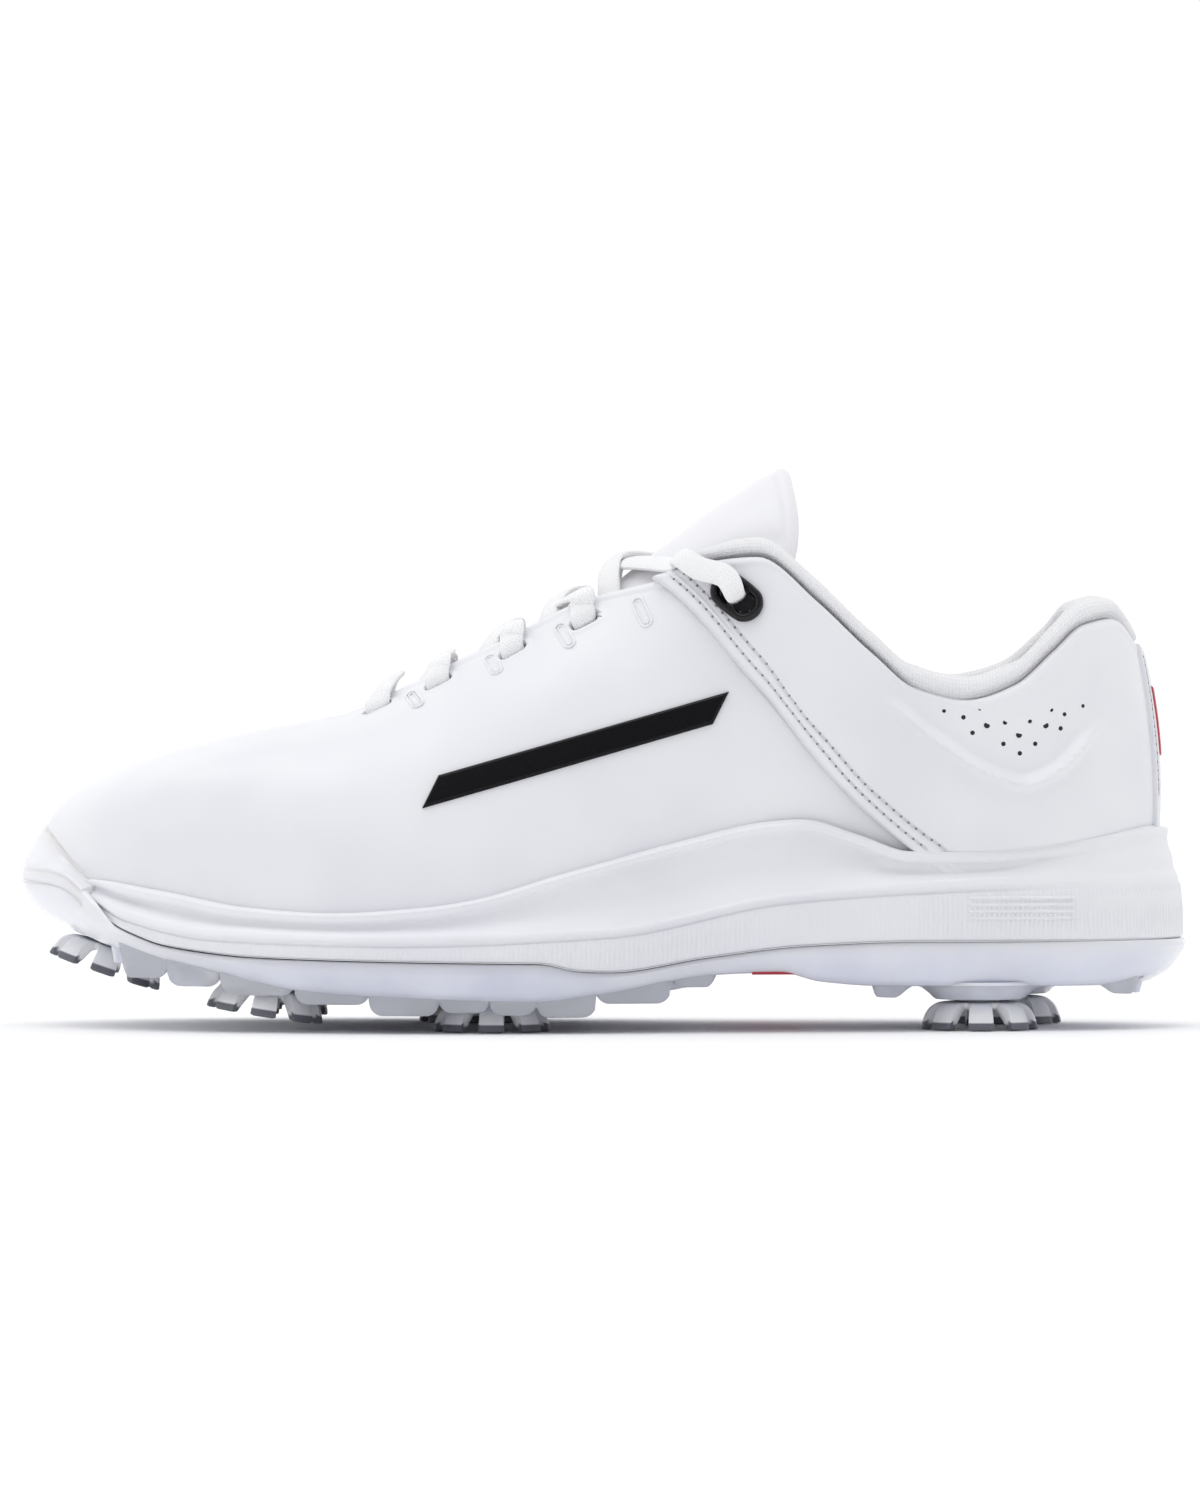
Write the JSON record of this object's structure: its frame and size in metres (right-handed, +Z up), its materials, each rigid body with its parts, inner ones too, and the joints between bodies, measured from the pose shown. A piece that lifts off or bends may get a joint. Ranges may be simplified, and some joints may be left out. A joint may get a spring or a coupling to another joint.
{
  "type": "golf shoe",
  "caption": "Left golf shoe: white leather upper with a laced throat, padded collar and tall tongue, moulded foam midsole, translucent lugged outsole and removable soft cleats.",
  "frame": {"origin": "centre of the shoe's box on the ground it stands on", "axes": "toe along -X, heel along +X, outer (lateral) side along -Y, +Z up"},
  "size_m": [0.302, 0.11, 0.1453],
  "materials": {
    "white_leather": "satin",
    "tongue_leather": "satin",
    "red_trim": "satin",
    "stiffener": "matte",
    "lining_textile": "matte",
    "collar_textile": "matte",
    "gloss_black": "gloss",
    "lace_textile": "matte",
    "clear_tip": "gloss",
    "board": "matte",
    "sock_foam": "matte",
    "midsole_foam": "matte",
    "cushion_film": "gloss",
    "outsole_plastic": "satin",
    "socket_plastic": "satin",
    "cleat_plastic": "satin"
  },
  "bodies": {
    "shoe": {"upper_vamp": "white_leather", "heel_quarter": "white_leather", "back_stay": "white_leather", "heel_tab": "red_trim", "arch_bar": "red_trim", "toe_puff": "stiffener", "heel_counter": "stiffener", "vamp_lining": "lining_textile", "heel_lining": "lining_textile", "eyestay_lateral": "lining_textile", "eyestay_medial": "lining_textile", "collar_lining": "collar_textile", "eyelet_lateral": "gloss_black", "eyelet_medial": "gloss_black", "side_mark_lateral": "gloss_black", "side_mark_medial": "gloss_black", "lace": "lace_textile", "aglet_lateral": "clear_tip", "aglet_medial": "clear_tip", "strobel_board": "board", "midsole": "midsole_foam", "heel_cushion": "cushion_film", "outsole": "outsole_plastic", "cleat_socket_toe": "socket_plastic", "cleat_socket_forefoot_lateral": "socket_plastic", "cleat_socket_forefoot_medial": "socket_plastic", "cleat_socket_ball_lateral": "socket_plastic", "cleat_socket_ball_medial": "socket_plastic", "cleat_socket_heel_lateral": "socket_plastic", "cleat_socket_heel_medial": "socket_plastic"},
    "tongue": {"tongue": "tongue_leather"},
    "sockliner": {"sockliner": "sock_foam"},
    "cleat_toe": {"cleat_toe": "cleat_plastic"},
    "cleat_forefoot_lateral": {"cleat_forefoot_lateral": "cleat_plastic"},
    "cleat_forefoot_medial": {"cleat_forefoot_medial": "cleat_plastic"},
    "cleat_ball_lateral": {"cleat_ball_lateral": "cleat_plastic"},
    "cleat_ball_medial": {"cleat_ball_medial": "cleat_plastic"},
    "cleat_heel_lateral": {"cleat_heel_lateral": "cleat_plastic"},
    "cleat_heel_medial": {"cleat_heel_medial": "cleat_plastic"}
  },
  "joints": [
    {"name": "tongue_tip", "type": "hinge", "parent": "shoe", "child": "tongue", "pos_m": [-0.078, 0, 0.0705], "axis": [0, 1, 0], "range_deg": [0, 10]},
    {"name": "sockliner_lift", "type": "hinge", "parent": "shoe", "child": "sockliner", "pos_m": [-0.134, 0, 0.04], "axis": [0, -1, 0], "range_deg": [0, 4]},
    {"name": "cleat_toe_turn", "type": "hinge", "parent": "shoe", "child": "cleat_toe", "pos_m": [-0.12744, 0.00731, 0.021], "axis": [0.3256, 0, 0.9455], "range_deg": [0, 90]},
    {"name": "cleat_forefoot_lateral_turn", "type": "hinge", "parent": "shoe", "child": "cleat_forefoot_lateral", "pos_m": [-0.08607, -0.02578, 0.0114], "axis": [0.1564, 0, 0.9877], "range_deg": [0, 90]},
    {"name": "cleat_forefoot_medial_turn", "type": "hinge", "parent": "shoe", "child": "cleat_forefoot_medial", "pos_m": [-0.08607, 0.03222, 0.0114], "axis": [0.1564, 0, 0.9877], "range_deg": [0, 90]},
    {"name": "cleat_ball_lateral_turn", "type": "hinge", "parent": "shoe", "child": "cleat_ball_lateral", "pos_m": [-0.02869, -0.0318, 0.0077], "axis": [0, 0, 1], "range_deg": [0, 90]},
    {"name": "cleat_ball_medial_turn", "type": "hinge", "parent": "shoe", "child": "cleat_ball_medial", "pos_m": [-0.03322, 0.02845, 0.0077], "axis": [0, 0, 1], "range_deg": [0, 90]},
    {"name": "cleat_heel_lateral_turn", "type": "hinge", "parent": "shoe", "child": "cleat_heel_lateral", "pos_m": [0.09694, -0.01927, 0.0077], "axis": [0, 0, 1], "range_deg": [0, 90]},
    {"name": "cleat_heel_medial_turn", "type": "hinge", "parent": "shoe", "child": "cleat_heel_medial", "pos_m": [0.10449, 0.02085, 0.0077], "axis": [0, 0, 1], "range_deg": [0, 90]}
  ]
}
